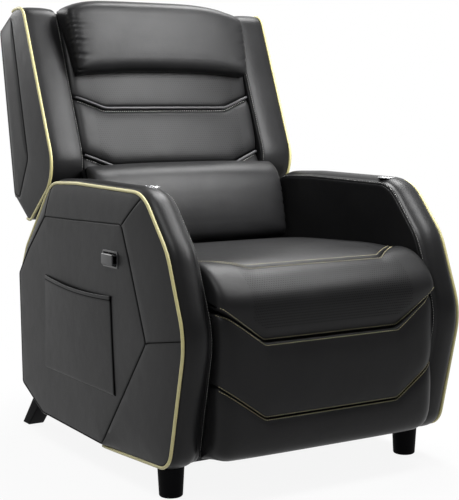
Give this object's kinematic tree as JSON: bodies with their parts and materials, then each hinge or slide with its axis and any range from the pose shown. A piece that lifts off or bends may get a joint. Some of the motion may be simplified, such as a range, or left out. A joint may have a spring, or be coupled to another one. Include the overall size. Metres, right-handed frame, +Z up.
{
  "type": "gaming recliner",
  "caption": "Single recliner with faceted padded arms, gold edge cord, winged back, head and lumbar pillows, side pocket, gliding seat and a fold-out footrest.",
  "frame": {"origin": "on the floor, under the middle of the chair's outer box, pocket and release included", "axes": "+Z up; the sitter faces -Y and the back is towards +Y; the sitter's right hand, with the pocket and the release, is towards -X"},
  "size_m": [0.738, 0.9432, 1.0501],
  "materials": {
    "leather": "satin, fine grain",
    "cord": "satin gold",
    "badge": "brushed",
    "leg": "satin",
    "release": "satin",
    "pin": "plain",
    "frame_wood": "raw plywood",
    "mechanism": "black powder coat",
    "webbing": "woven elastic"
  },
  "bodies": {
    "base": {"arm_right": "leather", "arm_left": "leather", "arm_cord_right": "cord", "arm_cord_left": "cord", "arm_badge_right": "badge", "arm_badge_left": "badge", "front_leg_right": "leg", "front_leg_left": "leg", "rear_leg_right": "leg", "rear_leg_left": "leg", "side_pocket": "leather", "paddle_bezel": "release", "paddle_pin": "pin", "base_front_rail": "frame_wood", "base_rear_rail": "frame_wood", "base_plate_right": "mechanism", "base_plate_left": "mechanism"},
    "paddle": {"release_paddle": "release"},
    "swing_front": {"swing_link_front_right": "mechanism", "swing_link_front_left": "mechanism"},
    "swing_rear": {"swing_link_rear_right": "mechanism", "swing_link_rear_left": "mechanism"},
    "seat": {"seat_rail_right": "mechanism", "seat_rail_left": "mechanism", "seat_front_rail": "frame_wood", "seat_rear_rail": "frame_wood", "seat_strap_1": "webbing", "seat_strap_2": "webbing", "seat_strap_3": "webbing", "seat_strap_4": "webbing", "seat_strap_5": "webbing", "seat_cushion": "leather"},
    "back": {"back_cushion": "leather", "lumbar_pillow": "leather", "head_pillow": "leather", "wing_right": "leather", "wing_left": "leather", "wing_cord_right": "cord", "wing_cord_left": "cord", "back_post_right": "frame_wood", "back_post_left": "frame_wood", "back_rail_lower": "frame_wood", "back_rail_middle": "frame_wood", "back_rail_upper": "frame_wood", "recline_bracket_right": "mechanism", "recline_bracket_left": "mechanism", "rear_cover": "leather"},
    "drive_links": {"drive_link_right": "mechanism", "drive_link_left": "mechanism", "drive_tube": "mechanism"},
    "reach_links": {"reach_link_right": "mechanism", "reach_link_left": "mechanism"},
    "guide_links": {"guide_link_right": "mechanism", "guide_link_left": "mechanism"},
    "footrest": {"foot_bracket_right": "mechanism", "foot_bracket_left": "mechanism", "foot_board": "frame_wood", "foot_pad": "leather"}
  },
  "joints": [
    {"name": "seat_swing_front", "type": "hinge", "parent": "base", "child": "swing_front", "pos_m": [0.006, -0.24564, 0.2081], "axis": [1, 0, 0], "range_deg": [0, 32.2]},
    {"name": "seat_level", "type": "hinge", "parent": "swing_front", "child": "seat", "pos_m": [0.006, -0.22359, 0.285], "axis": [-1, 0, 0], "range_deg": [0, 32.2]},
    {"name": "seat_swing_rear", "type": "hinge", "parent": "base", "child": "swing_rear", "pos_m": [0.006, 0.13436, 0.2081], "axis": [1, 0, 0], "range_deg": [0, 32.2]},
    {"name": "back_recline", "type": "hinge", "parent": "seat", "child": "back", "pos_m": [0.006, 0.23041, 0.33], "axis": [-1, 0, 0], "range_deg": [0, 50]},
    {"name": "footrest_extend", "type": "hinge", "parent": "seat", "child": "drive_links", "pos_m": [0.006, -0.18359, 0.325], "axis": [-1, 0, 0], "range_deg": [0, 78.97]},
    {"name": "reach_fold", "type": "hinge", "parent": "drive_links", "child": "reach_links", "pos_m": [0.006, -0.17546, 0.10015], "axis": [1, 0, 0], "range_deg": [0, 93.4]},
    {"name": "guide_swing", "type": "hinge", "parent": "seat", "child": "guide_links", "pos_m": [0.006, -0.13779, 0.3009], "axis": [-1, 0, 0], "range_deg": [0, 78.6]},
    {"name": "footrest_tilt", "type": "hinge", "parent": "reach_links", "child": "footrest", "pos_m": [0.006, -0.37556, 0.25001], "axis": [-1, 0, 0], "range_deg": [0, 104.4]},
    {"name": "paddle_pull", "type": "hinge", "parent": "base", "child": "paddle", "pos_m": [-0.352, -0.14459, 0.48], "axis": [0, 0, -1], "range_deg": [0, 28], "stiffness_Nm_per_rad": 0.3}
  ],
  "couplings": [
    {"joint": "seat_swing_front", "follows": "back_recline", "ratio": 0.64},
    {"joint": "seat_level", "follows": "back_recline", "ratio": 0.64},
    {"joint": "seat_swing_rear", "follows": "back_recline", "ratio": 0.64},
    {"joint": "reach_fold", "follows": "footrest_extend", "ratio": 1.1805},
    {"joint": "guide_swing", "follows": "footrest_extend", "ratio": 0.9928},
    {"joint": "footrest_tilt", "follows": "footrest_extend", "ratio": 1.3202}
  ]
}
